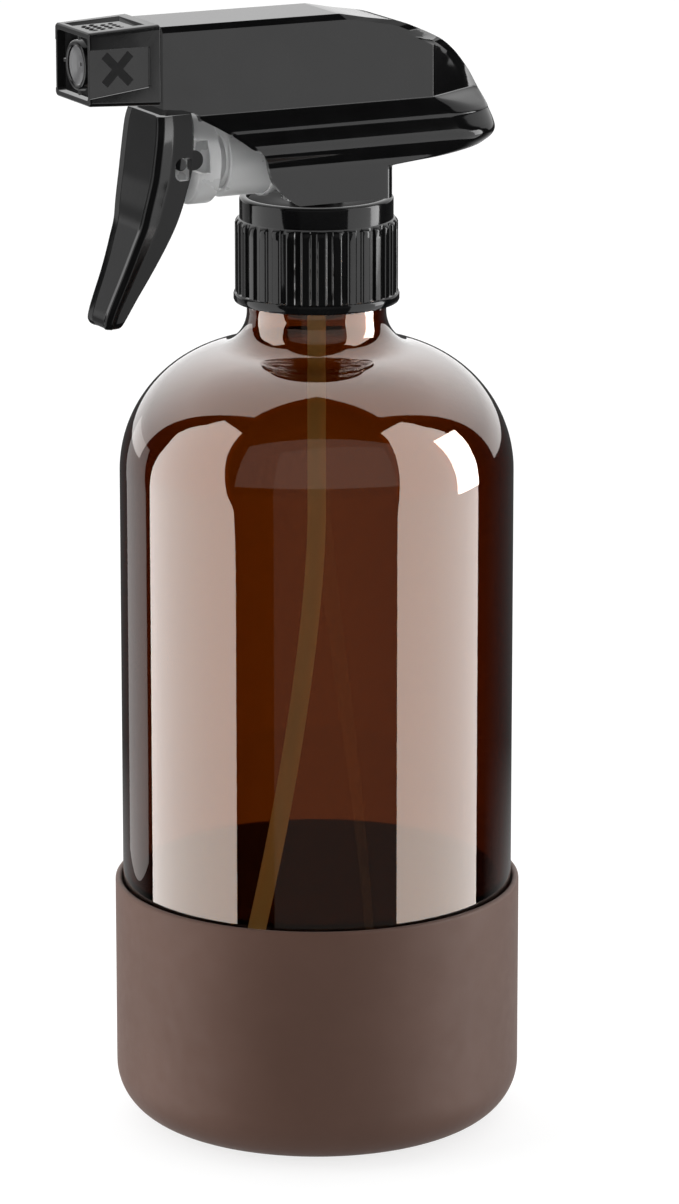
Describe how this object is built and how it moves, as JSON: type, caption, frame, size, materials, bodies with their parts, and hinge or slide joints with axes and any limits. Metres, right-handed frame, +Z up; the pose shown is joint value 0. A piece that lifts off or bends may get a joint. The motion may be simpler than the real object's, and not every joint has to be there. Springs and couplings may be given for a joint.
{
  "type": "trigger spray bottle",
  "caption": "Round-shouldered amber glass bottle in a low silicone boot, with a black trigger sprayer, ribbed screw closure, square nozzle and dip tube.",
  "frame": {"origin": "centre of the boot's flat underside, on the bottle's axis", "axes": "+Z up along the bottle's axis, +X the way it sprays, +Y to the sprayer's left side"},
  "size_m": [0.0889, 0.078, 0.2163],
  "materials": {
    "amber_glass": "gloss, clear amber",
    "brown_silicone": "matte moulded silicone",
    "black_plastic": "gloss moulded polypropylene",
    "natural_plastic": "translucent moulded polypropylene",
    "clear_tubing": "translucent extruded polyethylene",
    "stainless_steel": "drawn wire and ground ball",
    "white_elastomer": "matte",
    "grey_plastic": "satin moulded"
  },
  "bodies": {
    "bottle": {"glass_bottle": "amber_glass", "silicone_boot": "brown_silicone"},
    "gasket": {"neck_gasket": "white_elastomer"},
    "closure": {"screw_closure": "black_plastic"},
    "head": {"pump_body": "natural_plastic", "dip_tube_insert": "natural_plastic", "ball_retainer": "natural_plastic", "dip_tube": "clear_tubing", "shroud": "black_plastic", "swirl_plug": "natural_plastic", "outlet_spring": "stainless_steel", "piston_spring": "stainless_steel"},
    "nozzle": {"nozzle_cap": "black_plastic", "orifice_disc": "grey_plastic"},
    "trigger": {"trigger": "black_plastic"},
    "piston": {"piston": "natural_plastic", "piston_seal": "white_elastomer", "vent_seal": "white_elastomer"},
    "inlet_ball": {"inlet_ball": "stainless_steel"},
    "outlet_valve": {"outlet_valve": "white_elastomer"}
  },
  "joints": [
    {"name": "closure_lift", "type": "slide", "parent": "bottle", "child": "gasket", "axis": [0, 0, 1], "range_m": [0, 0.00529]},
    {"name": "closure_turn", "type": "hinge", "parent": "gasket", "child": "closure", "pos_m": [0, 0, 0.17], "axis": [0, 0, 1], "range_deg": [0, 450]},
    {"name": "head_swivel", "type": "hinge", "parent": "gasket", "child": "head", "pos_m": [0, 0, 0.18], "axis": [0, 0, 1], "continuous": true},
    {"name": "nozzle_turn", "type": "hinge", "parent": "head", "child": "nozzle", "pos_m": [0.0426, 0, 0.20865], "axis": [1, 0, 0], "continuous": true},
    {"name": "trigger_pull", "type": "hinge", "parent": "head", "child": "trigger", "pos_m": [0.0314, 0, 0.2054], "axis": [0, 1, 0], "range_deg": [0, 18], "stiffness_Nm_per_rad": 0.6, "springref_deg": -9.74},
    {"name": "piston_stroke", "type": "slide", "parent": "head", "child": "piston", "axis": [1, 0, 0], "range_m": [-0.0049, 0], "deforming": ["piston_spring"]},
    {"name": "inlet_ball_lift", "type": "slide", "parent": "head", "child": "inlet_ball", "axis": [0, 0, 1], "range_m": [0, 0.0012]},
    {"name": "outlet_valve_open", "type": "slide", "parent": "head", "child": "outlet_valve", "axis": [1, 0, 0], "range_m": [0, 0.0012], "stiffness_N_per_m": 100, "springref_m": -0.005, "deforming": ["outlet_spring"]}
  ],
  "couplings": [
    {"joint": "closure_turn", "follows": "closure_lift", "rad_per_m": 1484.2},
    {"joint": "trigger_pull", "follows": "piston_stroke", "rad_per_m": -64.1}
  ]
}
